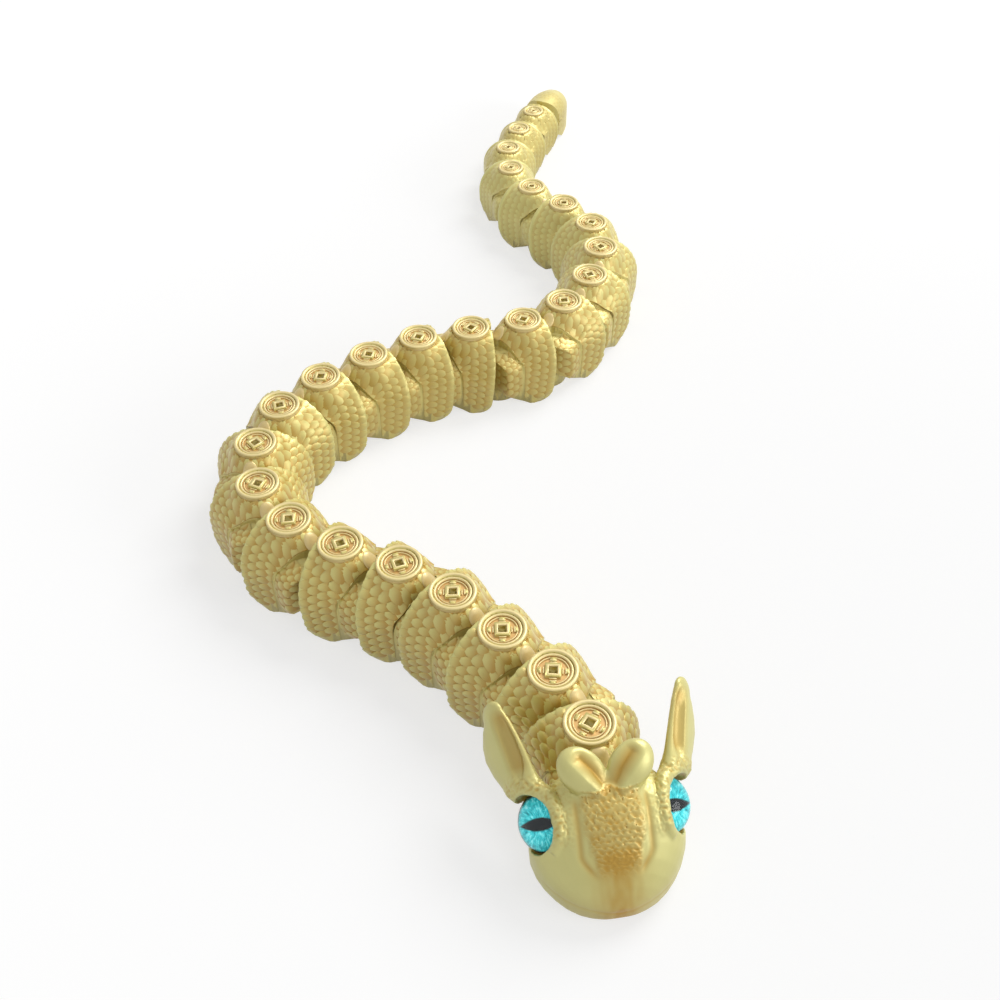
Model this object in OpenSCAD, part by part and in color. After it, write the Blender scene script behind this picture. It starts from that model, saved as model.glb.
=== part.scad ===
// Articulated snake toy: a head, twenty-five coin-topped links and a tail tip, each link printed
// already hooked on the pin of the next one. Glass eyes are glued over printed discs.
// Millimetres. The table is z = 0; the origin is on the table under the first hinge pin and the
// head looks along -Y. Left and right are the snake's own.

/* [Pose] */
// share of the resting S-curve; 0 lays the snake out straight
curl = 1; // [0:0.05:1]

/* [Body] */
// distance from one hinge pin to the next
link_pitch = 11; // [10.8:0.1:11.6]
// width over the rear rim of a middle link
body_width = 17.7; // [17:0.1:19]
// height of a middle link's ridge over the table
body_height = 16; // [15.5:0.1:17]
// extra girth of the first link, as a share
front_swell = 0.04; // [0:0.01:0.06]
// girth lost from one front link to the next
slim_step = 0.005; // [0:0.001:0.006]
// girth lost from one link to the next over the last seven
tail_step = 0.042; // [0.03:0.001:0.05]
// wall of the rear cup at its rim
rim_wall = 0.75; // [0.6:0.05:0.9]

/* [Hinge] */
// radius of the upright pin
pin_radius = 1.3; // [1:0.05:1.4]
// play between the pin and the eye around it
pin_play = 0.45; // [0.3:0.05:0.5]
// wall of the eye around the pin
eye_wall = 0.85; // [0.7:0.05:0.95]
// height of a middle eye's underside over the table
eye_low = 4.5; // [4:0.1:4.6]
// thickness of the eye and its tongue
eye_thick = 3; // [2.4:0.1:3.2]
// gap kept around the eye and the tongue
slot_gap = 0.4; // [0.3:0.05:0.5]

/* [Coin] */
// radius of a middle link's coin
coin_radius = 3.8; // [3:0.1:3.9]
// height of a coin's brim over the ridge
coin_rise = 0.8; // [0.6:0.1:2]
// depth of the coin's sunk field
field_depth = 0.5; // [0.3:0.05:0.7]
// side of the square hole, which stands on its corner
hole_side = 1.6; // [1.2:0.1:2]

/* [Head] */
// diameter of the glass eye
glass_d = 8.2; // [7.5:0.1:8.4]
// bulge of the glass over its flat back
glass_rise = 2.3; // [1.5:0.1:2.8]
// length of an ear
ear_length = 17.3; // [12:0.1:18]

/* [Hidden] */
$fn = 48;
half_width = body_width / 2;
rim_back = 1.3;                           // rear rim in front of the rear pin
eye_radius = pin_radius + pin_play + eye_wall;
slot_radius = eye_radius + slot_gap;
boss_radius = 1.35;
crown_tip = 9;
first_boss = 2;
foot_radius = 2.4;
front_foot = 4.2;                         // the underside rises forward from here
rim_tilt = 5.5;
rim_lean = 1.2;                           // how far the rim's foot stands in front of its crown
flank_foot = 4;                           // height at which the flanks start to draw in
flank_tuck = 15;
glass_sink = 0.8;
disc_thick = 0.3;

// bend at each hinge from head to tail, degrees, counter-clockwise seen from above
rest_bend = [5, 28, 4, 0, 19, 2, -17, -26, -28, -25, -20, -6, -9,
             -19, 16, 28, 14, 19, 27, 23, -6, -23, -24, -11, -2, 1];

function girth(k) = 1 + front_swell - slim_step * (min(k, 18) - 1) - tail_step * max(k - 18, 0);
function heading(k) = k == 0 ? 90 : heading(k - 1) + curl * rest_bend[k - 1];
function pin_at(k) = k < 2 ? [0, 0]
    : pin_at(k - 1) + link_pitch * [cos(heading(k - 1)), sin(heading(k - 1))];
function nose_radius(k) = 2.3 + 2.1 * girth(k);
function ridge(k) = body_height * girth(k);
function boss(k) = k == 1 ? first_boss : boss_radius * girth(k);
function eye_z(k) = eye_low * girth(k);

// Half width of a link's shell along its length: a bell that flares towards the rear rim.
function shell(k) = let (w = half_width * girth(k), e = link_pitch)
    [[-1.5, 0.77 * w], [1.5, 0.805 * w], [3, 0.82 * w], [4.2, 0.85 * w], [5.6, 0.9 * w], [7, 0.95 * w],
     [8.3, 0.985 * w], [e, w]];

function tail_shell(k) = let (w = half_width * girth(k))
    [[-1.5, 0.83 * w], [1, 0.86 * w], [3.5, 0.89 * w], [5.5, 0.88 * w], [7.5, 0.84 * w], [9.5, 0.78 * w],
     [11.2, 0.68 * w], [12.5, 0.54 * w], [13.4, 0.36 * w], [14, 0.12 * w]];

// Half width of the neck that swings inside the cup ahead.
function neck(k) = let (w = half_width * girth(k)) [[-0.6, 0.77 * w], [0.2, 0.79 * w], [1.5, 0.805 * w], [3.4, 0.82 * w]];

// Inside of the cup behind a link, x counted back from its rear pin.
function cup_side(k) = let (w = half_width * girth(k), d = nose_radius(k + 1) + 0.4)
    [[-d, w - rim_wall - 1.3], [-d + 0.7, w - rim_wall - 0.5], [-d + 1.8, w - rim_wall - 0.15],
     [-rim_back, w - rim_wall], [1, w - rim_wall]];

module at_link(k) translate(concat(pin_at(k), 0)) rotate([0, 0, heading(k)]) children();

// Outline in plan from a list of [x, half width].
module plan(side)
    polygon(concat([for (s = side) s], [for (i = [len(side) - 1:-1:0]) [side[i][0], -side[i][1]]]));

// Tunnel section, round above and straight-sided below; the round part can be tipped up at the front.
module tunnel(side, axis_z, tip = 0) {
    end = side[len(side) - 1][0];
    translate([end, 0, axis_z]) rotate([0, tip, 0]) translate([-end, 0, 0]) rotate([0, 90, 0])
        rotate_extrude() polygon(concat([[0, side[0][0]]], [for (s = side) [s[1], s[0]]], [[0, end]]));
    translate([0, 0, -3]) linear_extrude(axis_z + 3 + (tip > 0 ? 0.6 : 0)) plan(side);
}

// Plan of the shell: its front is a wedge about the pin, so that it meets the rim ahead edge to edge
// when the hinge is fully bent.
module wedge(end) linear_extrude(30) polygon([[-1.1, 0], [6, 7.1 * tan(60)], [end, 7.1 * tan(60)],
                                              [end, -7.1 * tan(60)], [6, -7.1 * tan(60)]]);

// Shell and neck of a link or of the tail tip, standing on the table.
module body(side, k, end) {
    axis_z = (body_height - half_width) * girth(k);
    difference() {
        union() {
            intersection() {
                tunnel(side, axis_z, crown_tip);
                wedge(end);
            }
            intersection() {
                tunnel(neck(k), axis_z);
                translate([-1, -20, 0]) cube([6, 40, 40]);
            }
        }
        translate([front_foot, -20, 0]) rotate([0, 30, 0]) translate([-12, 0, -6]) cube([12, 40, 6]);
    }
}

// Round nose about the pin with its domed top and the small boss that shows between two coins.
module nose(k) {
    g = girth(k);
    r = nose_radius(k);
    b = boss(k);
    top = ridge(k) + 0.4;
    rotate_extrude() polygon([[0, 0], [r, 0], [r, 12.9 * g], [r - 0.5, 13.4 * g], [r - 1.8, 13.9 * g],
                              [b, 14.1 * g], [b, top - 0.5], [b - 0.3, top - 0.15], [0, top]]);
}

// Space for the eye and tongue of the link ahead; the pin stays standing in it.
module eye_slot(k) difference() {
    translate([0, 0, eye_z(k) - slot_gap]) union() {
        cylinder(r = slot_radius, h = eye_thick + 2 * slot_gap);
        translate([-nose_radius(k) - 1, -5.1, 0]) cube([nose_radius(k) + 1, 10.2, eye_thick + 2 * slot_gap]);
    }
    cylinder(r = pin_radius, h = 20);
}

// Cup at the rear of a link: open towards the tail and below.
module cup(k) translate([link_pitch, 0, 0])
    tunnel(cup_side(k), (body_height - half_width) * girth(k) - 0.2);

// Round notch in the top of the rim, clear of the next link's boss.
module rim_notch(k) translate([link_pitch, 0, 9.7 * girth(k)])
    cylinder(r = boss(k + 1) + 0.4, h = 12);

// Tongue and eye that stand in the cup, around the pin of the next link.
module link_eye(k) translate([link_pitch, 0, eye_z(k + 1)]) difference() {
    union() {
        cylinder(r = eye_radius, h = eye_thick);
        translate([-nose_radius(k + 1) - 1, -1.5, 0]) cube([nose_radius(k + 1) + 1, 3, eye_thick]);
    }
    translate([0, 0, -1]) cylinder(r = pin_radius + pin_play, h = eye_thick + 2);
}

// Coin in relief: brim, sunk field, square hole on its corner, and four plain bars.
module coin(k) {
    g = girth(k);
    r = coin_radius * g;
    top = (body_height + coin_rise) * g;
    translate([link_pitch / 2, 0, 0]) difference() {
        translate([0, 0, 8 * g]) cylinder(r = r, h = top - 8 * g);
        translate([0, 0, top - field_depth]) difference() {
            cylinder(r = r - 0.65, h = 5);
            rotate([0, 0, 45]) translate([-1.2 * g, -1.2 * g, -1]) cube([2.4 * g, 2.4 * g, 2]);
            for (a = [0:90:270]) rotate([0, 0, a + 45]) translate([1.75 * g, -0.45, -1]) cube([0.6 * g, 0.9, 1.3]);
        }
        rotate([0, 0, 45]) translate([-hole_side * g / 2, -hole_side * g / 2, top - 1.6])
            cube([hole_side * g, hole_side * g, 5]);
    }
}

// Rear rim leaning forward towards its rounded lower corner, and flanks drawn in towards the table.
module foot_round(k) {
    e = link_pitch - rim_back - rim_lean;
    w = half_width * girth(k);
    translate([e, -20, 0]) rotate([0, rim_tilt, 0]) translate([0, 0, -2]) cube([5, 40, 30]);
    difference() {
        translate([e - foot_radius, -20, -1]) cube([foot_radius + 1, 40, foot_radius + 1]);
        translate([e - foot_radius, 0, foot_radius]) rotate([90, 0, 0]) cylinder(r = foot_radius, h = 50, center = true);
    }
    for (side = [0, 180]) rotate([0, 0, side]) translate([0, w, flank_foot]) rotate([-flank_tuck, 0, 0])
        translate([-20, 0, -8]) cube([40, 8, 8]);
}

module link(k) {
    difference() {
        union() {
            body(shell(k), k, link_pitch - rim_back);
            nose(k);
            coin(k);
        }
        eye_slot(k);
        cup(k);
        rim_notch(k);
        foot_round(k);
    }
    link_eye(k);
}

module gold() color([0.80, 0.73, 0.47]) children();

// Head

// x, half width, top, widest height, underside
skull = [[-17.2, 1.8, 4.5, 3, 1.8], [-16.9, 3, 5.3, 3.1, 1.1], [-16.4, 4.5, 6.5, 3.3, 0.6], [-15.7, 6, 7.8, 3.5, 0.2],
         [-14.6, 7.6, 9.4, 3.9, 0], [-13.2, 9, 11.2, 4.3, 0], [-11.6, 10.2, 13, 4.8, 0], [-10, 11, 14.7, 5.2, 0],
         [-8, 11.5, 16.1, 5.7, 0], [-6, 11.4, 16.9, 6.2, 0], [-4, 10.8, 17.1, 6.6, 0], [-2.5, 10, 16.9, 6.9, 0],
         [-1.3, 9.3, 16.7, 7.2, 0]];
ring_points = 40;

// Closed skin through rings of points that all have the same count.
module loft(rings) {
    n = len(rings[0]);
    m = len(rings);
    polyhedron(points = [for (r = rings) each r],
        faces = concat([[for (i = [0:n - 1]) i]], [[for (i = [n - 1:-1:0]) (m - 1) * n + i]],
            [for (j = [0:m - 2], i = [0:n - 1]) let (k = (i + 1) % n)
                each [[j * n + k, j * n + i, (j + 1) * n + i], [j * n + k, (j + 1) * n + i, (j + 1) * n + k]]]));
}

function soft(v, p) = sign(v) * pow(abs(v), p);
function skull_ring(s) = [for (i = [0:ring_points - 1]) let (a = 360 * i / ring_points, c = cos(a), z = sin(a))
    [s[0], s[1] * soft(c, z > 0 ? 0.94 : 0.5),
     z > 0 ? s[3] + (s[2] - s[3]) * soft(z, 0.94) : s[3] + (s[3] - s[4]) * soft(z, 0.5)]];

// Ring of an ear or lobe: centre, the two half axes, a in degrees around it.
function oval(c, u, v, n = 20) = [for (i = [0:n - 1]) let (a = 360 * i / n) c + u * cos(a) + v * sin(a)];
function unit(v) = v / norm(v);

// share of the length, half breadth, half thickness, shift towards the outer edge
ear_shape = [[-0.1, 3.6, 2.2, -1.2], [0.04, 3.2, 1.9, -0.7], [0.15, 3.1, 1.7, 0.1], [0.28, 3.7, 1.6, 0.9],
             [0.42, 4.3, 1.5, 1.5], [0.56, 4.5, 1.4, 1.8], [0.68, 4.1, 1.3, 1.6], [0.79, 3.3, 1.2, 1.1],
             [0.88, 2.3, 1, 0.6], [0.95, 1.3, 0.75, 0.2], [1, 0.4, 0.3, 0]];
ear_root = [-4.5, 9.8, 11];
ear_dir = unit([0.85, 0.254, 0.462]);
ear_wide = unit(cross([-0.383, 0.823, 0.415], ear_dir));
ear_out = cross(ear_dir, ear_wide);

module ear() difference() {
    loft([for (s = ear_shape) oval(ear_root + ear_dir * s[0] * ear_length + ear_wide * s[3],
                                   ear_wide * s[1], ear_out * s[2])]);
    loft([for (s = [[0.26, 0.5, 2.1], [0.32, 1, 2], [0.48, 1.35, 1.8], [0.64, 1.3, 1.6], [0.78, 1, 1.3], [0.9, 0.5, 0.9]])
        oval(ear_root + ear_dir * s[0] * ear_length - ear_wide * (s[1] * 0.9) + ear_out * s[2],
             ear_wide * s[1], ear_out * s[1] * 1.2, 12)]);
}

// The two crown lobes stand in a V between the eyes and lean back.
lobe_shape = [[0, 1.5, 1.4], [0.15, 2, 1.7], [0.35, 2.4, 1.9], [0.55, 2.4, 1.9], [0.72, 2.1, 1.7],
              [0.86, 1.6, 1.3], [0.95, 1, 0.8], [1, 0.4, 0.35]];
lobe_root = [-5.4, 0.6, 15.6];
lobe_dir = unit([4.2, 4.6, 4.6]);
lobe_wide = unit(cross([-0.6, 0.1, 0.8], lobe_dir));
lobe_front = cross(lobe_dir, lobe_wide);

module lobe() loft([for (s = lobe_shape) oval(lobe_root + lobe_dir * s[0] * 8.2, lobe_wide * s[1],
                                              lobe_front * s[2], 16)]);

glass_at = [-5.5, 10.3, 10.2];
module at_eye() translate(glass_at) rotate([0, 60, 112]) children();

// Hood over the inner side of the eye, from the ear's root forward.
module brow() at_eye() rotate([0, 0, 92]) rotate_extrude(angle = 165) translate([glass_d / 2 + 0.9, 0.1])
    circle(r = 0.95);

module both_sides() {
    children();
    mirror([0, 1, 0]) children();
}

module head() gold() at_link(0) {
    difference() {
        union() {
            loft([for (s = skull) skull_ring(s)]);
            both_sides() {
                ear();
                lobe();
                brow();
            }
        }
        both_sides() at_eye() translate([0, 0, -glass_sink]) cylinder(d = glass_d + 0.3, h = 6);
        translate([-link_pitch, 0, 0]) {
            cup(0);
            rim_notch(0);
        }
    }
    translate([-link_pitch, 0, 0]) link_eye(0);
}

// Glass cabochon: a slice of a ball with a flat back, over its printed disc.
module glass() {
    r = glass_d / 2;
    ball = (r * r + glass_rise * glass_rise) / (2 * glass_rise);
    at_eye() translate([0, 0, disc_thick - glass_sink]) intersection() {
        translate([0, 0, glass_rise - ball]) sphere(r = ball);
        cylinder(r = r + 1, h = glass_rise + 1);
    }
}
module disc() at_eye() translate([0, 0, -glass_sink]) cylinder(r = glass_d / 2 - 0.1, h = disc_thick);

module eye_right() color([0.75, 0.95, 0.97, 0.35]) at_link(0) glass();
module eye_left() color([0.75, 0.95, 0.97, 0.35]) at_link(0) mirror([0, 1, 0]) glass();
module iris_right() color([0.15, 0.72, 0.76]) at_link(0) disc();
module iris_left() color([0.15, 0.72, 0.76]) at_link(0) mirror([0, 1, 0]) disc();

// Links, from the neck to the tail

module segment_01() gold() at_link(1) link(1);
module segment_02() gold() at_link(2) link(2);
module segment_03() gold() at_link(3) link(3);
module segment_04() gold() at_link(4) link(4);
module segment_05() gold() at_link(5) link(5);
module segment_06() gold() at_link(6) link(6);
module segment_07() gold() at_link(7) link(7);
module segment_08() gold() at_link(8) link(8);
module segment_09() gold() at_link(9) link(9);
module segment_10() gold() at_link(10) link(10);
module segment_11() gold() at_link(11) link(11);
module segment_12() gold() at_link(12) link(12);
module segment_13() gold() at_link(13) link(13);
module segment_14() gold() at_link(14) link(14);
module segment_15() gold() at_link(15) link(15);
module segment_16() gold() at_link(16) link(16);
module segment_17() gold() at_link(17) link(17);
module segment_18() gold() at_link(18) link(18);
module segment_19() gold() at_link(19) link(19);
module segment_20() gold() at_link(20) link(20);
module segment_21() gold() at_link(21) link(21);
module segment_22() gold() at_link(22) link(22);
module segment_23() gold() at_link(23) link(23);
module segment_24() gold() at_link(24) link(24);
module segment_25() gold() at_link(25) link(25);

// Last link: no cup and no coin, the end is rounded.
module tail_tip() gold() at_link(26) difference() {
    union() {
        body(tail_shell(26), 26, 14);
        nose(26);
    }
    eye_slot(26);
}

head();
eye_left();
eye_right();
iris_left();
iris_right();
segment_01();
segment_02();
segment_03();
segment_04();
segment_05();
segment_06();
segment_07();
segment_08();
segment_09();
segment_10();
segment_11();
segment_12();
segment_13();
segment_14();
segment_15();
segment_16();
segment_17();
segment_18();
segment_19();
segment_20();
segment_21();
segment_22();
segment_23();
segment_24();
segment_25();
tail_tip();
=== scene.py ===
import math

import bmesh
import bpy
from mathutils import Matrix, Vector
from mathutils.noise import noise


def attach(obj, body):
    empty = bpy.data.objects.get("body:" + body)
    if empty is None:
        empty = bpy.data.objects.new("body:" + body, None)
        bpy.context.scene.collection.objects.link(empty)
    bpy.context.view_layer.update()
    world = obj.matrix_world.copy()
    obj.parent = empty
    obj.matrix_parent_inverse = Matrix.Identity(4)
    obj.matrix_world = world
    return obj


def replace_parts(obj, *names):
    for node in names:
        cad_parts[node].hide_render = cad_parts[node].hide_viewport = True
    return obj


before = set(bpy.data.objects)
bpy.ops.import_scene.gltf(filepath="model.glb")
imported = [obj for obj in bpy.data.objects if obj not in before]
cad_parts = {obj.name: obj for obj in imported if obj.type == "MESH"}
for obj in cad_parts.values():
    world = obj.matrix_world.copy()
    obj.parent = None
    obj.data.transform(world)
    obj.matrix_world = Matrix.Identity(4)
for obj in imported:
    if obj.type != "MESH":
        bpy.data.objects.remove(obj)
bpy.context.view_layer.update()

# Studio
# The toy lies on a white table in a white room, under a wide soft lamp from behind and a weaker one
# from the side. It is seen from in front of its face, from seventeen centimetres above the table.
camera = bpy.data.objects.new("camera", bpy.data.cameras.new("camera"))
bpy.context.scene.collection.objects.link(camera)
camera.location = (-0.029, -0.09035, 0.16548)
camera.rotation_euler = (math.radians(90 - 45.77), 0, math.radians(-9.08))
camera.data.lens = 43.45
camera.data.clip_start, camera.data.clip_end = 0.01, 10
bpy.context.scene.camera = camera
bpy.context.scene.view_settings.view_transform = "Standard"


class Wire:
    """An output of a material's node; sums and products of wires and numbers add Math nodes."""

    def __init__(self, finish, socket):
        self.finish, self.socket = finish, socket

    def math(self, operation, *values):
        return self.finish.add("Math", {"operation": operation}, dict(enumerate(values)))

    def __add__(self, other):
        return self.math("ADD", self, other)

    __radd__ = __add__

    def __sub__(self, other):
        return self.math("SUBTRACT", self, other)

    def __rsub__(self, other):
        return self.math("SUBTRACT", other, self)

    def __mul__(self, other):
        return self.math("MULTIPLY", self, other)

    __rmul__ = __mul__


class Finish:
    """A finish being mixed: add() places one node, its settings first and then its sockets."""

    def __init__(self, name, kind=bpy.data.materials):
        self.material = kind.new(name)
        self.material.use_nodes = True
        self.tree = self.material.node_tree
        self.tree.nodes.clear()

    def add(self, kind, settings=None, sockets=None, out=0):
        node = self.tree.nodes.new("ShaderNode" + kind)
        for key, value in (settings or {}).items():
            if key == "stops":
                ramp = node.color_ramp
                while len(ramp.elements) < len(value):
                    ramp.elements.new(0.5)
                for element, (place, colour) in zip(ramp.elements, value):
                    element.position, element.color = place, (*colour, 1)
            else:
                setattr(node, key, value)
        for key, value in (sockets or {}).items():
            if isinstance(value, Wire):
                self.tree.links.new(value.socket, node.inputs[key])
            else:
                node.inputs[key].default_value = value
        return Wire(self, node.outputs[out]) if node.outputs else None

    def mix(self, share, first, second):
        first, second = ((*c, 1) if isinstance(c, tuple) else c for c in (first, second))
        return self.add("Mix", {"data_type": "RGBA"}, {0: share, 6: first, 7: second}, out=2)

    def place(self, scale=1.0):
        spot = self.add("TexCoord", out="Object")
        return self.add("VectorMath", {"operation": "SCALE"}, {0: spot, "Scale": scale})

    def surface(self, shader):
        self.add("OutputMaterial", None, {"Surface": shader})
        return self.material


def seen_by(finish):
    """1 where the camera looks straight at it or sees it in gloss or through glass."""
    path = finish.tree.nodes.new("ShaderNodeLightPath")
    return (Wire(finish, path.outputs["Is Camera Ray"]) + Wire(finish, path.outputs["Is Glossy Ray"])
            + Wire(finish, path.outputs["Is Transmission Ray"]))


def table_top():
    """White paper that glows where it is seen, so that only the toy's shadow shows on it."""
    white = Finish("table_white")
    seen = seen_by(white)
    paper = white.add("BsdfDiffuse", None, {"Color": (0.42, 0.42, 0.42, 1), "Roughness": 1.0})
    glow = white.add("Emission", None, {"Color": (1, 1, 1, 1), "Strength": 0.67 * seen})
    return white.surface(white.add("AddShader", None, {0: paper, 1: glow}))


bm = bmesh.new()
bmesh.ops.create_grid(bm, x_segments=8, y_segments=8, size=2.0)
floor_mesh = bpy.data.meshes.new("table")
bm.to_mesh(floor_mesh)
bm.free()
floor = bpy.data.objects.new("table", floor_mesh)
bpy.context.scene.collection.objects.link(floor)
floor_mesh.materials.append(table_top())

room = Finish("studio", bpy.data.worlds)
walls = room.add("Background", None, {"Color": (1, 1, 1, 1), "Strength": 0.42 + 0.58 * seen_by(room)})
room.add("OutputWorld", None, {"Surface": walls})
bpy.context.scene.world = room.material


def lamp(name, place, aim, size, power):
    light = bpy.data.objects.new(name, bpy.data.lights.new(name, "AREA"))
    light.data.shape, light.data.size, light.data.energy = "DISK", size, power
    light.location = place
    light.rotation_euler = (Vector(aim) - Vector(place)).to_track_quat("-Z", "Y").to_euler()
    bpy.context.scene.collection.objects.link(light)


lamp("soft_box", (0.47, 0.42, 0.62), (-0.01, 0.08, 0), 0.5, 5.6)
lamp("side_box", (0.55, -0.30, 0.22), (0, 0, 0), 0.4, 1.5)

# Gold print
# The links and the head are printed in one silky pale gold plastic. It shines softly on raised
# edges and shows its printed layers as hair-fine level lines. The brown in its grooves is painted shade.
# The groove colour is painted shade for the grooves and the gaps between parts.
LINK_GOLD, HEAD_GOLD_SHADED, GROOVE_SHADE = (0.73, 0.685, 0.25), (0.66, 0.615, 0.235), (0.50, 0.28, 0.035)
PRINT_LAYER = 0.0002


def gold_print(name, face, shade_depth=None, groove_shade=GROOVE_SHADE):
    """Mixes the groove colour in as painted shade: by a fixed share when one is given, otherwise by a point
    attribute that says how far each point stands out of the grooves.
    """
    gold = Finish(name)
    near = gold.place()
    speckle = gold.add("TexNoise", None, {"Vector": near, "Scale": 2600.0, "Detail": 3.0, "Roughness": 0.6})
    cloud = gold.add("TexNoise", None, {"Vector": near, "Scale": 150.0, "Detail": 2.0})
    height = gold.add("SeparateXYZ", None, {0: near}, out="Z")
    layers = height.math("SINE", height * (2 * math.pi / PRINT_LAYER))
    if shade_depth is None:
        raised = gold.add("Attribute", {"attribute_name": "raised"}, None, out="Fac")
    else:
        raised = gold.add("Math", {"operation": "ADD", "use_clamp": True}, {0: cloud * 0.2, 1: 1 - shade_depth - 0.1})
    pale = gold.mix(cloud, tuple(c * 0.93 for c in face), tuple(c * 1.07 for c in face))
    colour = gold.mix(raised, groove_shade, pale)
    bump = gold.add("Bump", None, {"Height": layers * 0.08 + speckle, "Strength": 0.25, "Distance": 0.00004})
    shine = gold.add("BsdfPrincipled", None, {
        "Base Color": colour, "Metallic": 0.3, "Roughness": 0.34 + 0.16 * speckle, "Normal": bump,
        "Specular IOR Level": 0.5, "Coat Weight": 0.25, "Coat Roughness": 0.3})
    return gold.surface(shine)


link_gold = gold_print("gold_print", LINK_GOLD)
# The link solids show mostly in the gaps between links and inside the cups, so they get a fixed share of painted
# groove shade.
groove_shaded_gold = gold_print("gold_print_groove_shaded", LINK_GOLD, 0.3)

# Links
# Each link is one print: a scaled bell that flares to the rear rim, with a pin in its nose and an
# eye in its cup. The ridge sinks in front of the coin, so that the coins stand on a row of humps.
MM = 0.001
PITCH, HALF_WIDTH, AXIS_HEIGHT = 11.0, 8.85, 7.15
BELL = ((-1.5, 0.77), (1.5, 0.805), (3, 0.82), (4.2, 0.85), (5.6, 0.9), (7, 0.95), (8.3, 0.985), (11, 1))
TIP = math.radians(9)
# Degrees that each link is turned against the one ahead of it, as the toy lies on the table.
REST_BEND = (5, 28, 4, 0, 19, 2, -17, -26, -28, -25, -20, -6, -9,
             -19, 16, 28, 14, 19, 27, 23, -6, -23, -24, -11, -2, 1)
SCALE_WIDE, SCALE_LONG, ROW_STEP = 1.9, 2.6, 1.6
# How high the scales stand and how pale their faces are, from the neck to the tail tip. Lower
# # paleness is painted shade: it mixes a link's scale faces and rim band towards the groove colour.
RELIEF = ((1, 1), (9, 1), (12, 0.75), (16, 0.85), (18, 0.7), (21, 0.4), (26, 0.3))
PALENESS = ((1, 1), (10, 1), (12, 0.78), (15, 0.8), (17, 1), (22, 0.95), (24, 0.75), (26, 0.75))
COIN_AT, COIN_RADIUS, RIDGE_SINK = Vector((5.5, 0)), 3.8, 1.9
# The front of a link is a wedge, so that it can swing either way until it meets the rim ahead.
WEDGE, WEDGE_BACK = math.tan(math.radians(60)), 1.1
FOOT_ROUND, CUP_GAP, SWING = 2.4, 1.25, math.radians(30)


def girth(k):
    """Thickness of link k as a share of the full one: fullest at the neck, thinning over the tail."""
    return 1.04 - 0.005 * (min(k, 18) - 1) - 0.042 * max(k - 18, 0)


def seat(k):
    """Where link k stands: its hinge pin and its heading."""
    pin, heading = Vector((0, 0, 0)), math.radians(90)
    for i in range(1, k + 1):
        if i > 1:
            pin += PITCH * MM * Vector((math.cos(heading), math.sin(heading), 0))
        heading += math.radians(REST_BEND[i - 1])
    return Matrix.Translation(pin) @ Matrix.Rotation(heading, 4, "Z")


def soft_step(value, low, high):
    """0 below low, 1 above high, and a smooth rise between them."""
    share = min(1.0, max(0.0, (value - low) / (high - low)))
    return share * share * (3 - 2 * share)


def hump(bm, g):
    """Sinks the ridge in front of the coin, from the coin's edge forward."""
    for v in bm.verts:
        apart = soft_step((v.co.xy - COIN_AT).length, COIN_RADIUS * g + 0.1, COIN_RADIUS * g + 2.7)
        share = apart * soft_step(-v.co.x, -5.5, -2.5) * soft_step(v.co.z, 9.5 * g, 14 * g)
        v.co.z -= RIDGE_SINK * g * share


def mound(bm, g):
    """Raises the scales around the coin nearly to its brim."""
    for v in bm.verts:
        near = 1 - soft_step((v.co.xy - COIN_AT).length, COIN_RADIUS * g, COIN_RADIUS * g + 2.0)
        v.co.z += 0.9 * near * soft_step(v.co.z, 11 * g, 13 * g) * max(0, 16.2 * g - v.co.z)


def share_at(profile, u):
    """Reads a profile of (place, share) points at u."""
    for (u0, s0), (u1, s1) in zip(profile, profile[1:]):
        if u <= u1:
            return s0 + (s1 - s0) * max(0, u - u0) / (u1 - u0)
    return profile[-1][1]


def rim_at(z):
    """x of the rear rim at height z: it leans forward towards the foot."""
    return min(9.7, 8.5 + z * math.tan(math.radians(5.5)))


def chin_at(x):
    """Height of the slanted underside of a link's nose, which is cut back to clear the link ahead."""
    return (4.2 - x) * math.tan(math.radians(30))


def on_shell(g, profile, back, side, lift):
    """Point of a link's shell: back = distance in front of the rim line, side = way around it."""
    end = profile[-1][0]
    full = HALF_WIDTH * g
    x = z = 9.0
    for _ in range(4):
        x = (rim_at(z) if profile is BELL else end) - back
        turn = side / full
        u = end + (x - end - full * math.cos(min(abs(turn), math.pi / 2)) * math.sin(TIP)) / math.cos(TIP)
        radius = full * share_at(profile, u)
        drop = abs(side) - full * math.pi / 2
        centre = AXIS_HEIGHT * g - (u - end) * math.sin(TIP)
        z = centre + (radius + lift) * math.cos(turn) * math.cos(TIP) if drop < 0 else centre - drop
    if drop < 0:
        y = (radius + lift) * math.sin(turn)
        x += lift * math.cos(turn) * math.sin(TIP)
    else:
        y = min(radius, full - max(0, 4 - z) * math.tan(math.radians(15))) + lift
        y = math.copysign(y, side)
    return Vector((x, y, z))


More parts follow.
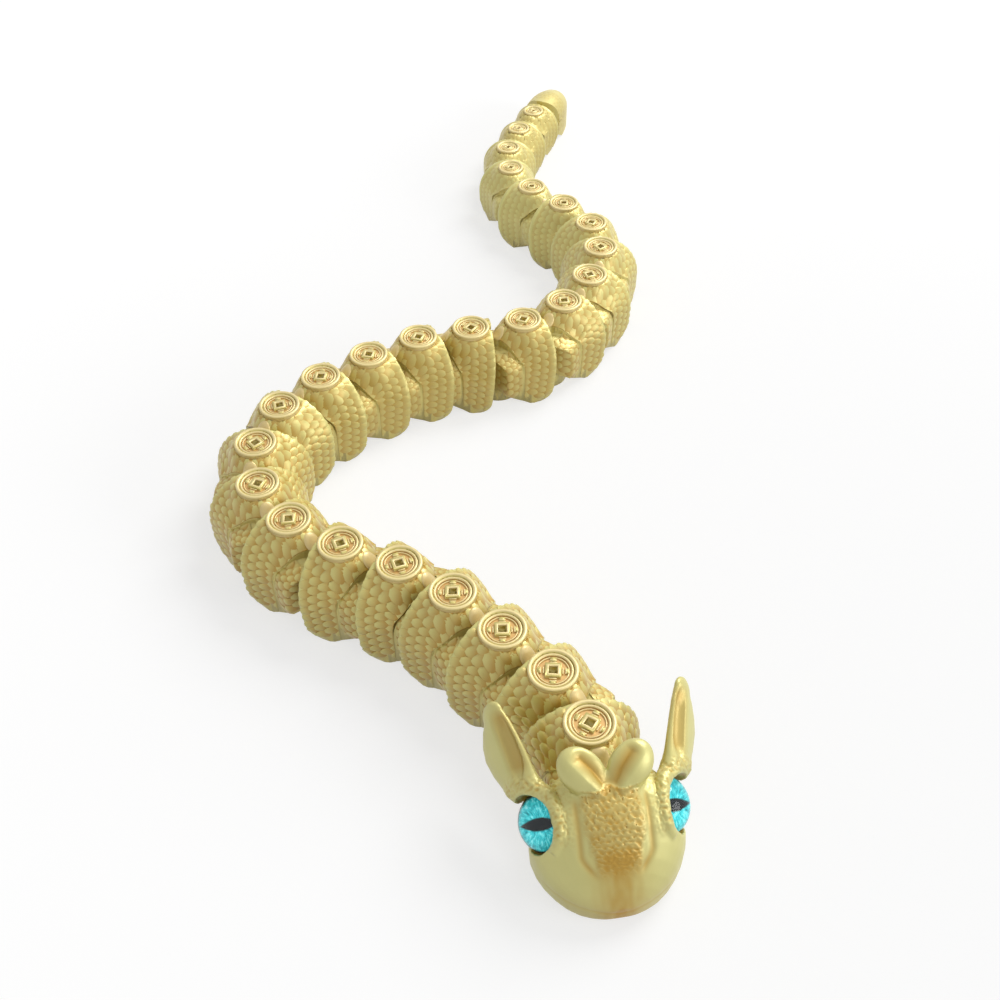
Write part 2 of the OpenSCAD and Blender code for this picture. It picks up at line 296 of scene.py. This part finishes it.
def scale_blank():
    """One scale before it is laid on: a domed tongue with a rounded tip and a wall around it."""
    bm = bmesh.new()
    ring = bmesh.ops.create_circle(bm, segments=10, radius=1.0)["verts"]
    edges = bm.edges[:]
    for size, high in ((0.78, 0.62), (0.4, 0.9)):
        grown = bmesh.ops.extrude_edge_only(bm, edges=edges)["geom"]
        verts = [e for e in grown if isinstance(e, bmesh.types.BMVert)]
        edges = [e for e in grown if isinstance(e, bmesh.types.BMEdge)]
        for v in verts:
            v.co = Vector((v.co.x / Vector(v.co.xy).length * size, v.co.y / Vector(v.co.xy).length * size, high))
    bmesh.ops.contextual_create(bm, geom=edges)
    bmesh.ops.poke(bm, faces=[f for f in bm.faces if len(f.verts) > 4])
    outline = [e for e in bm.edges if e.is_boundary]
    grown = bmesh.ops.extrude_edge_only(bm, edges=outline)["geom"]
    for v in (e for e in grown if isinstance(e, bmesh.types.BMVert)):
        v.co.z = -1
    bmesh.ops.recalc_face_normals(bm, faces=bm.faces[:])
    mesh = bpy.data.meshes.new("scale_blank")
    bm.to_mesh(mesh)
    bm.free()
    return mesh


blank = scale_blank()
blank_points = [v.co.copy() for v in blank.vertices]


def lay_scale(bm, raised, surface, k, back, side, lift, keep):
    """Bends one scale onto a surface; keep() says whether its middle is worth laying."""
    g, relief, pale = girth(k), share_at(RELIEF, k), share_at(PALENESS, k)
    if not keep(surface(back + SCALE_LONG * g / 2, side, 0)):
        return
    first = len(bm.verts)
    bm.from_mesh(blank)
    bm.verts.ensure_lookup_table()
    for v, p in zip(bm.verts[first:], blank_points):
        along = (p.x + 1) / 2
        across = math.copysign(abs(p.y) ** 0.8, p.y) * (1 - 0.1 * max(0, p.x))
        wall = p.z < -0.5
        high = -0.3 if wall else (-0.03 + 0.32 * along ** 1.3 + 0.13 * p.z) * lift * relief
        v.co = surface(back + (1 - along) * SCALE_LONG * g, side + across * SCALE_WIDE * g / 2, high)
        # Painted shade: a scale's wall and its root, tucked under the tips of the row in front, are mixed towards
        # the groove colour, and its tip keeps the link's paleness.
        shade = 1.0 if wall else min(1.0, max(0.0, 1.6 - 1.5 * along - 0.25 * p.z))
        v[raised] = pale - 0.95 * pale * relief * shade


def on_ball(k, back, side, lift):
    """Point of the ball about the hinge pin, which turns inside the cup ahead of link k."""
    g = girth(k)
    full, wall = HALF_WIDTH * g - CUP_GAP, 2.45 + 2.1 * g
    around = math.radians(min(50 + math.degrees(back / (HALF_WIDTH * g)), 104 + 22 * g))
    drop = abs(side) - full * math.pi / 2
    z = AXIS_HEIGHT * g + ((full + lift) * math.cos(side / full) if drop < 0 else -drop)
    out = full * math.sin(min(abs(side) / full, math.pi / 2)) - max(0, 4 - z) * math.tan(math.radians(15))
    swung = -math.cos(around + SWING)
    out = (min(out, wall / swung - 0.25) if swung > 0.1 else out) + lift
    return Vector((out * math.cos(around), math.copysign(out * math.sin(around), side), z))


def ball_scales(bm, raised, k):
    """The ball's plain wall on both sides, and the rows of scales that go on over it."""
    g = girth(k)
    full = HALF_WIDTH * g - CUP_GAP
    top, foot = full * 0.5, full * math.pi / 2 + AXIS_HEIGHT * g - 1.5
    reach = math.radians(54 + 22 * g) * HALF_WIDTH * g
    for hand in (-1, 1):
        wall = bmesh.ops.create_grid(bm, x_segments=16, y_segments=18, size=0.5)["verts"]
        faces = list({f for v in wall for f in v.link_faces})
        for v in wall:
            v.co = on_ball(k, (0.5 + v.co.x) * reach, hand * (top + (0.5 + v.co.y) * (foot - top)), -0.03)
            # The ball's plain wall sits inside the cup ahead, and is painted with about half the groove shade.
            v[raised] = 0.55
        grown = bmesh.ops.extrude_face_region(bm, geom=faces)["geom"]
        for v in grown:
            if isinstance(v, bmesh.types.BMVert):
                v.co.x, v.co.y = v.co.x * 0.93, v.co.y * 0.93
        faces += [f for f in grown if isinstance(f, bmesh.types.BMFace)]
        faces = list({f for face in faces for v in face.verts for f in v.link_faces})
        bmesh.ops.recalc_face_normals(bm, faces=faces)
        columns = round((foot - top) / (SCALE_WIDE * g))
        for row in range(1, 8):
            for i in range(columns):
                side = hand * (top + (i + 0.5 + 0.5 * (row % 2)) * (foot - top) / columns)
                lay_scale(bm, raised, lambda b, s, h: on_ball(k, b, s, h), k, row * ROW_STEP * g - 0.6, side, 0.45,
                          lambda p: p.z > chin_at(p.x) + 0.9)


def link_scales(k):
    """Seven rows of scales on the bell, and the ball in front, all trimmed to the link's outline."""
    g = girth(k)
    bm = bmesh.new()
    raised = bm.verts.layers.float.new("raised")
    half_round = HALF_WIDTH * g * math.pi / 2 + AXIS_HEIGHT * g - 0.4
    columns = round(half_round / (SCALE_WIDE * g * 0.94))
    wide = half_round / columns

    def keep(p):
        return (p.xy - COIN_AT).length > 3.4 * g and p.x > -0.4 and p.z > chin_at(p.x) + 0.9

    for row in range(7):
        for i in range(-columns, columns + 1):
            side = (i + 0.5 * (row % 2)) * wide
            if abs(side) > half_round - 0.6:
                continue
            middle = on_shell(g, BELL, row * ROW_STEP + 1.6, side, 0)
            ahead = middle.x < abs(middle.y) / WEDGE - WEDGE_BACK + 0.6
            lay_scale(bm, raised, lambda b, s, h: on_shell(g, BELL, b, s, h), k, row * ROW_STEP + 0.05, side,
                      0.35 if ahead else 1.0, keep)
    for v in bm.verts:
        v.co.x = max(v.co.x, min(abs(v.co.y) / WEDGE, 7.1) - WEDGE_BACK)
    ball_scales(bm, raised, k)
    for v in bm.verts:
        p = v.co
        foot = rim_at(p.z)
        if p.z < FOOT_ROUND:
            foot = 6.1 + math.sqrt(max(0, FOOT_ROUND ** 2 - (FOOT_ROUND - max(p.z, 0)) ** 2))
        p.x = min(p.x, foot + 0.03)
        p.z = max(p.z, chin_at(p.x) + 0.05, 0.05)
    mound(bm, g)
    hump(bm, g)
    for v in bm.verts:
        if (v.co.xy - COIN_AT).length < COIN_RADIUS * g - 0.05:
            v.co.z = min(v.co.z, 15.8 * g)
    return bm


def link_print(k):
    """The link's own solid, cut fine enough in front of the coin to take the hump's shape."""
    bm = bmesh.new()
    bm.from_mesh(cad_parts[f"segment_{k:02d}"].data)
    bmesh.ops.remove_doubles(bm, verts=bm.verts[:], dist=1e-6)
    bmesh.ops.transform(bm, matrix=seat(k).inverted(), verts=bm.verts[:])
    bmesh.ops.scale(bm, vec=(1 / MM, 1 / MM, 1 / MM), verts=bm.verts[:])
    cuts = [((x / 2, 0, 0), (1, 0, 0)) for x in range(-7, 11)]
    cuts += [((0, y * 0.8, 0), (0, 1, 0)) for y in range(-9, 10)]
    for point, normal in cuts:
        bmesh.ops.bisect_plane(bm, geom=bm.verts[:] + bm.edges[:] + bm.faces[:], dist=1e-4,
                               plane_co=point, plane_no=normal)
    bmesh.ops.triangulate(bm, faces=bm.faces[:])
    hump(bm, girth(k))
    return bm


def show(bm, name, body, material, k):
    """Turns a shape in link k's millimetres into a piece in its place, riding on its body."""
    for face in bm.faces:
        face.smooth = True
    bmesh.ops.scale(bm, vec=(MM, MM, MM), verts=bm.verts[:])
    bmesh.ops.transform(bm, matrix=seat(k), verts=bm.verts[:])
    mesh = bpy.data.meshes.new(name)
    bm.to_mesh(mesh)
    bm.free()
    mesh.set_sharp_from_angle(angle=math.radians(50))
    mesh.materials.append(material)
    piece = bpy.data.objects.new(name, mesh)
    bpy.context.scene.collection.objects.link(piece)
    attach(piece, body)
    return piece


for k in range(1, 26):
    name = f"segment_{k:02d}"
    show(link_scales(k), name + "_scales", name, link_gold, k)
    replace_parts(show(link_print(k), name + "_print", name, groove_shaded_gold, k), name)

# Rims
# The plain band along the rear edge of each bell, a hair proud of the scales' feet and rounded over
# the cup's edge. It stops at the notch on the ridge, which the next link's bead stands in.
BAND_SECTION = ((1.25, -0.1), (1.0, 0.13), (0.55, 0.2), (0.15, 0.13), (-0.03, -0.08), (-0.04, -0.6), (0.25, -0.72))


def rim_band(bm, raised, k):
    """Draws the band's section along the rim on both sides, from the notch down to the foot."""
    g = girth(k)
    half_round = HALF_WIDTH * g * math.pi / 2 + AXIS_HEIGHT * g - 0.35
    for hand in (-1, 1):
        start, steps = 1.25, 44
        outline = None
        for step in range(steps + 1):
            side = hand * (start + (half_round - start) * step / steps)
            ring = []
            for back, lift in BAND_SECTION:
                point = on_shell(g, BELL, back, side, lift)
                if point.z < FOOT_ROUND:
                    point.x -= FOOT_ROUND - math.sqrt(FOOT_ROUND ** 2 - (FOOT_ROUND - max(point.z, 0.02)) ** 2)
                vert = bm.verts.new(point)
                # The band's tucked-under side, beneath the rim, is painted mostly in groove shade.
                vert[raised] = 0.35 if lift < -0.09 else share_at(PALENESS, k)
                ring.append(vert)
            edges = [bm.edges.new((a, b)) for a, b in zip(ring, ring[1:] + ring[:1])]
            if outline is None:
                bm.faces.new(ring)
            else:
                bmesh.ops.bridge_loops(bm, edges=outline + edges)
            outline = edges
        bm.faces.new(ring)
    bmesh.ops.recalc_face_normals(bm, faces=bm.faces[:])


for k in range(1, 26):
    name = f"segment_{k:02d}"
    bm = bmesh.new()
    rim_band(bm, bm.verts.layers.float.new("raised"), k)
    hump(bm, girth(k))
    show(bm, name + "_rim", name, link_gold, k)

# Coins
# A round coin in relief on each ridge: thick rounded brim, thin inner rings, a raised frame around
# the square hole that stands on its corner, and two short plain bars beside each side of it.
COIN_TOP, FIELD_DEPTH = 16.8, 0.5
# The coin's groove colour is painted shade.
coin_gold = gold_print("gold_print_coin", (0.80, 0.66, 0.31), groove_shade=(0.60, 0.31, 0.07))


def ring_of(bm, radius, height, thick, high, steps):
    """A closed bead around the coin's middle; four steps make the square frame."""
    section = bmesh.ops.create_circle(bm, segments=10, radius=1.0)["verts"]
    for v in section:
        v.co = Vector((radius + thick * v.co.x, 0, height + high * v.co.y))
    edges = [e for e in bm.edges if all(v in section for v in e.verts)]
    bmesh.ops.spin(bm, geom=section + edges, cent=(0, 0, 0), axis=(0, 0, 1), angle=2 * math.pi,
                   steps=steps, use_merge=True, use_duplicate=False)


def link_coin(k):
    """The coin, its wall, its sunk floor around the square hole, and the bead in front of it."""
    g = girth(k)
    top, radius = COIN_TOP * g, COIN_RADIUS * g
    field = top - FIELD_DEPTH * (0.3 + 0.7 * share_at(RELIEF, k))
    bm = bmesh.new()
    raised = bm.verts.layers.float.new("raised")
    ring_of(bm, radius - 0.3, top - 0.14, 0.34, 0.28, 48)
    ring_of(bm, radius - 0.98, top - 0.3, 0.24, 0.26, 44)
    ring_of(bm, radius - 1.5, field + 0.08, 0.14, 0.2, 40)
    ring_of(bm, 1.18 * g, top - 0.2, 0.3, 0.26, 4)
    for quarter in range(4):
        for far in (1.42, 1.86):
            bar = bmesh.ops.create_cube(bm, size=1.0)["verts"]
            bmesh.ops.scale(bm, vec=(0.2, 1.5 - 0.2 * far, 0.4), verts=bar)
            edges = [e for e in bm.edges if e.verts[0] in bar]
            made = bmesh.ops.bevel(bm, geom=edges, offset=0.07, segments=2, profile=0.5, affect="EDGES", material=-1)
            bar = list({v for f in made["faces"] for v in f.verts})
            bmesh.ops.translate(bm, vec=(far * g, 0, field + 0.12), verts=bar)
            turn = Matrix.Rotation(math.radians(45 + 90 * quarter), 3, "Z")
            bmesh.ops.rotate(bm, cent=(0, 0, 0), matrix=turn, verts=bar)
    bead = bmesh.ops.create_uvsphere(bm, u_segments=20, v_segments=12, radius=1.0)["verts"]
    boss = 2.0 if k == 1 else 1.35 * g
    bmesh.ops.scale(bm, vec=(boss + 0.05, boss + 0.05, 0.62), verts=bead)
    bmesh.ops.translate(bm, vec=(-PITCH / 2, 0, 16 * g - 0.15), verts=bead)
    wall = bmesh.ops.create_circle(bm, segments=48, radius=radius + 0.04)["verts"]
    bmesh.ops.translate(bm, vec=(0, 0, top - 0.3), verts=wall)
    ring = [e for e in bm.edges if all(v in wall for v in e.verts)]
    grown = bmesh.ops.extrude_edge_only(bm, edges=ring)["geom"]
    bmesh.ops.translate(bm, vec=(0, 0, -2.4 * g), verts=[v for v in grown if isinstance(v, bmesh.types.BMVert)])
    bmesh.ops.recalc_face_normals(bm, faces=bm.faces[:])
    # Painted shade: the coin darkens down its rings towards the sunk floor, and its wall and the bead get a little.
    for v in bm.verts:
        outside = v.co.xy.length > radius - 0.05
        v[raised] = 0.85 if outside else min(1.0, max(0.0, 1.0 - (top - 0.2 - v.co.z) * 2.2))
    sunk = bmesh.ops.create_circle(bm, segments=40, radius=radius - 0.5)["verts"]
    hole = bmesh.ops.create_circle(bm, segments=4, radius=1.15 * g)["verts"]
    bmesh.ops.translate(bm, vec=(0, 0, field + 0.03), verts=sunk + hole)
    edges = [e for e in bm.edges if all(v in sunk for v in e.verts) or all(v in hole for v in e.verts)]
    bmesh.ops.triangle_fill(bm, use_beauty=True, edges=edges, normal=(0, 0, 1))
    # The sunk floor and the square hole are painted in deep shade.
    for v in sunk + hole:
        v[raised] = 0.25
    bmesh.ops.translate(bm, vec=(PITCH / 2, 0, 0), verts=bm.verts[:])
    hump(bm, g)
    return bm


for k in range(1, 26):
    name = f"segment_{k:02d}"
    show(link_coin(k), name + "_coin", name, coin_gold, k)

# Head
# One print: smooth cheeks, a raised snout band of fine scales, beaded brows over the eyes, two
# leaf-shaped ears and two crown petals with a crease. Behind it has a cup and eye like a link's.
EAR_ROOT, EAR_DIR = Vector((-4.5, 9.8, 11)), Vector((0.85, 0.254, 0.462)).normalized()
EAR_WIDE = Vector((-0.383, 0.823, 0.415)).cross(EAR_DIR).normalized()
EAR_OUT, EAR_LONG = EAR_DIR.cross(EAR_WIDE), 17.3
PETAL_ROOT, PETAL_DIR = Vector((-5.4, 0.6, 15.6)), Vector((4.2, 4.8, 4.2)).normalized()
PETAL_WIDE = Vector((-0.6, 0.1, 0.8)).cross(PETAL_DIR).normalized()
PETAL_FRONT, PETAL_LONG = PETAL_DIR.cross(PETAL_WIDE), 8.2
EYE_AT, EYE_AXIS = Vector((-5.5, 10.3, 10.2)), Vector((-0.324, 0.803, 0.5))
VOXEL = 0.2


def swelling(bm, centre, axes, sizes):
    """An egg of plastic that melts into the head when its skin is closed over, on both sides."""
    for hand in (1, -1):
        egg = bmesh.ops.create_uvsphere(bm, u_segments=28, v_segments=18, radius=1.0)["verts"]
        for v in egg:
            point = centre + sum((axis * size * c for axis, size, c in zip(axes, sizes, v.co)), Vector())
            v.co = Vector((point.x, hand * point.y, point.z))


def one_skin(bm, voxel):
    """Closes one even skin over overlapping solids."""
    mesh = bpy.data.meshes.new("skin")
    bm.to_mesh(mesh)
    bm.free()
    rough = bpy.data.objects.new("skin", mesh)
    bpy.context.scene.collection.objects.link(rough)
    remesh = rough.modifiers.new("skin", "REMESH")
    remesh.mode, remesh.voxel_size = "VOXEL", voxel
    even = bpy.data.meshes.new_from_object(rough.evaluated_get(bpy.context.evaluated_depsgraph_get()))
    bpy.data.objects.remove(rough)
    bpy.data.meshes.remove(mesh)
    bm = bmesh.new()
    bm.from_mesh(even)
    bpy.data.meshes.remove(even)
    return bm


def crease(point, start, end, wide):
    """1 on the line from start to end, fading to 0 at a width from it."""
    line = end - start
    share = min(1.0, max(0.0, (point - start).dot(line) / line.length_squared))
    ends = min(1, 6 * (share + 0.03)) * min(1, 6 * (1.03 - share))
    return max(0.0, 1 - (point - start - line * share).length / wide) * ends


def fine_scales(across, along):
    """Height of small overlapping scales, from 0 at a root to 1 at a tip."""
    for row in (math.floor(along) - 1, math.floor(along)):
        shift = across - 0.5 * (row % 2)
        off = abs(shift - round(shift)) * 2
        tip = 1.35 - 0.5 * off * off
        if along - row <= tip:
            return (along - row) / tip
    return 0.3


def head_shape():
    """The CAD head with fuller ears and petals under one skin, then carved and given painted shade point by point.
    """
    bm = bmesh.new()
    bm.from_mesh(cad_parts["head"].data)
    bmesh.ops.remove_doubles(bm, verts=bm.verts[:], dist=1e-6)
    bmesh.ops.transform(bm, matrix=seat(0).inverted(), verts=bm.verts[:])
    bmesh.ops.scale(bm, vec=(1 / MM, 1 / MM, 1 / MM), verts=bm.verts[:])
    ear = (EAR_DIR, EAR_WIDE, EAR_OUT)
    swelling(bm, EAR_ROOT + EAR_DIR * 0.57 * EAR_LONG + EAR_WIDE * 3.0, ear, (4.5, 2.7, 1.0))
    swelling(bm, EAR_ROOT + EAR_DIR * 0.84 * EAR_LONG + EAR_WIDE * 1.0, ear, (2.7, 2.3, 1.0))
    swelling(bm, EAR_ROOT + EAR_DIR * 0.92 * EAR_LONG + EAR_WIDE * 0.5, ear, (1.5, 2.0, 0.8))
    petal = (PETAL_DIR, PETAL_WIDE, PETAL_FRONT)
    swelling(bm, PETAL_ROOT + PETAL_DIR * 0.56 * PETAL_LONG, petal, (4.1, 3.1, 2.1))
    bm = one_skin(bm, VOXEL)
    front = [v for v in bm.verts if v.co.x < -2.2 or v.co.z > 14.5]
    for _ in range(5):
        bmesh.ops.smooth_vert(bm, verts=front, factor=0.5, use_axis_x=True, use_axis_y=True, use_axis_z=True)
    bm.normal_update()
    raised = bm.verts.layers.float.new("raised")
    ear_groove = [EAR_ROOT + EAR_DIR * s * EAR_LONG - EAR_WIDE * 1.1 + EAR_OUT * 1.0 for s in (0.34, 0.93)]
    petal_groove = [PETAL_ROOT + PETAL_DIR * s * PETAL_LONG - PETAL_WIDE * 1.5 + PETAL_FRONT * 1.8
                    for s in (0.05, 0.95)]
    moves = []
    for v in bm.verts:
        p = Vector((v.co.x, abs(v.co.y), v.co.z))
        # The tone below is painted shade: it darkens the snout band between its fine scales, the ditches beside the
        # band, the snout's front, the underside of the chin, the mouth line, the petal crease, the ear hollow, the
        # gaps between the brow beads and the eye socket.
        lift, lit_tone = 0.0, 1.0
        width = 4.3 - 1.3 * soft_step(-p.x, 9, 15) + 0.35 * noise(Vector((v.co.x * 0.7, v.co.y, 3)))
        band = 1 - soft_step(p.y, width - 0.7, width + 0.5)
        band *= soft_step(-p.x, 3.5, 5.5) * (1 - soft_step(-p.x, 12.6, 15.4)) * soft_step(v.normal.z, 0.15, 0.4)
        if band > 0 and p.z < 17.6:
            turn = math.pi / 2 - math.atan2(p.z - 6, -p.x - 6)
            wave = noise(Vector((v.co.y * 0.5, turn * 4, 0)))
            fine = noise(Vector((v.co.y * 1.6, turn * 16, 5)))
            tip = fine_scales(v.co.y / 0.95 + 0.5 * wave + 0.25 * fine, -turn * 11 + 1.1 * wave + 0.5 * fine)
            lift += band * (0.12 + 0.19 * tip)
            lit_tone -= band * (0.36 + 0.55 * (1 - tip) + 0.3 * max(0, wave))
        ditch = math.exp(-((p.y - 5.1 + 1.9 * soft_step(-p.x, 12, 15)) / 0.45) ** 2)
        ditch *= soft_step(-p.x, 5, 7) * (1 - soft_step(-p.x, 13.5, 15)) * soft_step(v.normal.z, 0.2, 0.5)
        lift -= 0.2 * ditch
        lit_tone -= 0.6 * ditch
        # Painted shade down the middle of the snout's front, and under the chin where it faces down.
        lip = math.exp(-(p.y / 3.2) ** 2) * soft_step(-p.x, 11.5, 13.5)
        lit_tone -= 0.2 * (1 - soft_step(v.normal.z, -0.1, 0.5)) * soft_step(-p.x, 12, 15)
        lit_tone -= 0.9 * lip * (0.8 + 0.35 * noise(Vector((v.co.y * 1.2, p.z * 0.4, 0))))
        mouth = math.exp(-((p.z - 3.3 - 0.13 * p.y) / 0.28) ** 2) * soft_step(-p.x, 9, 12)
        lift -= 0.06 * mouth
        lit_tone -= 0.15 * mouth
        fold = crease(p, *petal_groove, 1.8)
        lift -= 0.9 * fold
        lit_tone -= 1.0 * fold
        hollow = crease(p, *ear_groove, 2.2)
        lift -= 0.4 * hollow
        lit_tone -= 0.95 * hollow
        from_eye = p - EYE_AT
        off_axis = (from_eye - EYE_AXIS * from_eye.dot(EYE_AXIS)).length
        brow = math.exp(-((off_axis - 5.6) / 1.25) ** 2) if from_eye.length < 8 else 0
        brow *= soft_step(p.z + p.x * 0.2, 9, 11.5) * soft_step(off_axis, 4.2, 4.8)
        if brow > 0.02:
            bead = noise(Vector((p.x * 2.6, p.y * 2.6, p.z * 1.5)))
            lift += brow * (0.3 + 0.22 * bead)
            lit_tone -= brow * (0.1 + 0.5 * max(0, -bead * 2))
        # The socket under the eye disc is painted in deep shade.
        if off_axis < 4.25 and from_eye.length < 6:
            lit_tone = 0.1
        moves.append((lift, max(0.0, lit_tone)))
    for v, (lift, lit_tone) in zip(bm.verts, moves):
        v.co += v.normal * lift
        v.co.z = max(v.co.z, 0.0)
        v[raised] = lit_tone
    return bm


# The head's gold is the link gold painted about a tenth darker, as painted shade over the whole head; its groove
# colour is painted shade too.
head_gold = gold_print("gold_print_head", HEAD_GOLD_SHADED, groove_shade=(0.50, 0.29, 0.03))
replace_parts(show(head_shape(), "head_print", "head", head_gold, 0), "head")

# Eyes
# A printed disc with a turquoise iris and a black slit pupil lies in each socket, and a clear glass
# dome with a flat back is glued over it.
EYE_SEAT = Matrix.Translation(EYE_AT)
EYE_SEAT @= Matrix.Rotation(math.radians(112), 4, "Z") @ Matrix.Rotation(math.radians(60), 4, "Y")
GLASS_RADIUS, GLASS_RISE, GLASS_SINK, DISC_THICK = 4.1, 2.3, 0.8, 0.3
PUPIL_AT, PUPIL_LEAN = (0.02, 0.2), math.radians(144)


def iris_print():
    iris = Finish("iris_print")
    spot = iris.add("Attribute", {"attribute_name": "spot"}, out="Vector")
    apart = iris.tree.nodes.new("ShaderNodeSeparateXYZ")
    iris.tree.links.new(spot.socket, apart.inputs[0])
    across, along = Wire(iris, apart.outputs["X"]), Wire(iris, apart.outputs["Y"])
    out = iris.add("VectorMath", {"operation": "LENGTH"}, {0: spot}, out="Value")
    ray = iris.add("VectorMath", {"operation": "NORMALIZE"}, {0: spot})
    stretched = iris.add("VectorMath", {"operation": "MULTIPLY_ADD"}, {0: spot, 1: (0.5, 0.5, 0.5), 2: ray})
    fibres = iris.add("TexNoise", None, {"Vector": stretched, "Scale": 7.0, "Detail": 6.0, "Roughness": 0.7})
    mottle = iris.add("TexNoise", None, {"Vector": spot, "Scale": 5.0, "Detail": 3.0})
    colour = iris.add("ValToRGB", {"stops": ((0.36, (0.0, 0.16, 0.19)), (0.46, (0.01, 0.37, 0.42)),
                                             (0.54, (0.05, 0.60, 0.64)), (0.68, (0.4, 0.88, 0.88)))},
                      {"Fac": fibres * 0.6 + mottle * 0.42})
    half = iris.add("Math", {"operation": "ADD", "use_clamp": True}, {0: 0.2, 1: (along * along) * -0.3})
    edge = across.math("ABSOLUTE", across + mottle * 0.06 - 0.03)
    pupil = iris.add("MapRange", None, {"Value": edge - half, 1: -0.02, 2: 0.03, 3: 1.0, 4: 0.0})
    rim = iris.add("MapRange", None, {"Value": out, 1: 0.86, 2: 0.97, 3: 0.0, 4: 1.0})
    dark = pupil.math("MAXIMUM", pupil, rim)
    shade = iris.add("BsdfPrincipled", None, {
        "Base Color": iris.mix(dark, colour, (0.004, 0.006, 0.008)), "Roughness": 0.6, "Specular IOR Level": 0.1})
    return iris.surface(shade)


def clear_glass():
    glass = Finish("clear_glass")
    near = glass.place(400.0)
    smear = glass.add("TexNoise", None, {"Vector": near, "Scale": 1.0, "Detail": 2.0})
    shade = glass.add("BsdfPrincipled", None, {
        "Base Color": (0.93, 0.99, 1.0, 1), "Roughness": smear * 0.03, "IOR": 1.36, "Transmission Weight": 1.0})
    return glass.surface(shade)


def glass_dome():
    """Half an arc and its chord, turned about the eye's axis."""
    bm = bmesh.new()
    ball = (GLASS_RADIUS ** 2 + GLASS_RISE ** 2) / (2 * GLASS_RISE)
    reach = math.asin(GLASS_RADIUS / ball)
    chain = [bm.verts.new((ball * math.sin(reach * i / 14), 0, GLASS_RISE - ball + ball * math.cos(reach * i / 14)))
             for i in range(15)]
    chain += [bm.verts.new((GLASS_RADIUS * r, 0, 0)) for r in (0.96, 0.5, 0)]
    edges = [bm.edges.new(pair) for pair in zip(chain, chain[1:])]
    bmesh.ops.spin(bm, geom=chain + edges, cent=(0, 0, 0), axis=(0, 0, 1), angle=2 * math.pi, steps=56,
                   use_merge=True, use_duplicate=False)
    bmesh.ops.remove_doubles(bm, verts=bm.verts[:], dist=1e-4)
    bmesh.ops.translate(bm, vec=(0, 0, DISC_THICK - GLASS_SINK - 0.03), verts=bm.verts[:])
    return bm


def printed_disc():
    bm = bmesh.new()
    spot = bm.verts.layers.float_vector.new("spot")
    bmesh.ops.create_circle(bm, cap_ends=True, segments=64, radius=GLASS_RADIUS - 0.1)
    top = bmesh.ops.extrude_face_region(bm, geom=bm.faces[:])["geom"]
    bmesh.ops.translate(bm, vec=(0, 0, DISC_THICK), verts=[v for v in top if isinstance(v, bmesh.types.BMVert)])
    bmesh.ops.recalc_face_normals(bm, faces=bm.faces[:])
    turn = Matrix.Rotation(math.pi / 2 - PUPIL_LEAN, 2)
    for v in bm.verts:
        flat = turn @ (v.co.xy / (GLASS_RADIUS - 0.1)) - Vector(PUPIL_AT)
        v[spot] = (flat.x, flat.y, 0)
    bmesh.ops.translate(bm, vec=(0, 0, -GLASS_SINK), verts=bm.verts[:])
    return bm


iris_finish, glass_finish = iris_print(), clear_glass()
for hand, side in ((1, "right"), (-1, "left")):
    for shape, name, finish, slot, node in ((printed_disc(), "iris_print_", iris_finish, "printed_disc", "iris_"),
                                            (glass_dome(), "eye_glass_", glass_finish, "glass", "eye_")):
        bmesh.ops.transform(shape, matrix=Matrix.Diagonal((1, hand, 1, 1)) @ EYE_SEAT, verts=shape.verts[:])
        bmesh.ops.recalc_face_normals(shape, faces=shape.faces[:])
        piece = show(shape, name + side, "head", finish, 0)
        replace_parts(piece, node + side)

# Tail tip
# The last link has no cup and no coin: its scales run out into a smooth rounded end.
TAIL = ((-1.5, 0.83), (1, 0.86), (3.5, 0.89), (5.5, 0.88), (7.5, 0.84), (9.5, 0.78), (11.2, 0.68),
        (12.5, 0.54), (13.4, 0.36), (14, 0.12))


def tail_scales():
    """Four rows behind the nose that fade out, and the ball in front."""
    g = girth(26)
    bm = bmesh.new()
    raised = bm.verts.layers.float.new("raised")
    half_round = HALF_WIDTH * g * math.pi / 2 + AXIS_HEIGHT * g - 0.4
    columns = 9
    wide = half_round / columns

    def keep(p):
        return p.x > -0.2 and p.z > 0.7

    for row in range(4):
        for i in range(-columns, columns + 1):
            side = (i + 0.5 * (row % 2)) * wide
            if abs(side) < half_round - 0.6:
                lay_scale(bm, raised, lambda b, s, h: on_shell(g, TAIL, b, s, h), 26, 6.4 + row * 1.5, side,
                          min(0.7, 0.3 + 0.15 * row), keep)
    ball_scales(bm, raised, 26)
    for v in bm.verts:
        v.co.z = max(v.co.z, 0.05)
    return bm


show(tail_scales(), "tail_tip_scales", "tail_tip", link_gold, 26)
bpy.data.meshes.remove(blank)
tail_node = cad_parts["tail_tip"]
tail_node.data.materials.clear()
# The smooth tail end gets the same fixed share of painted groove shade as the link solids.
tail_node.data.materials.append(gold_print("gold_print_tail", LINK_GOLD, 0.3))
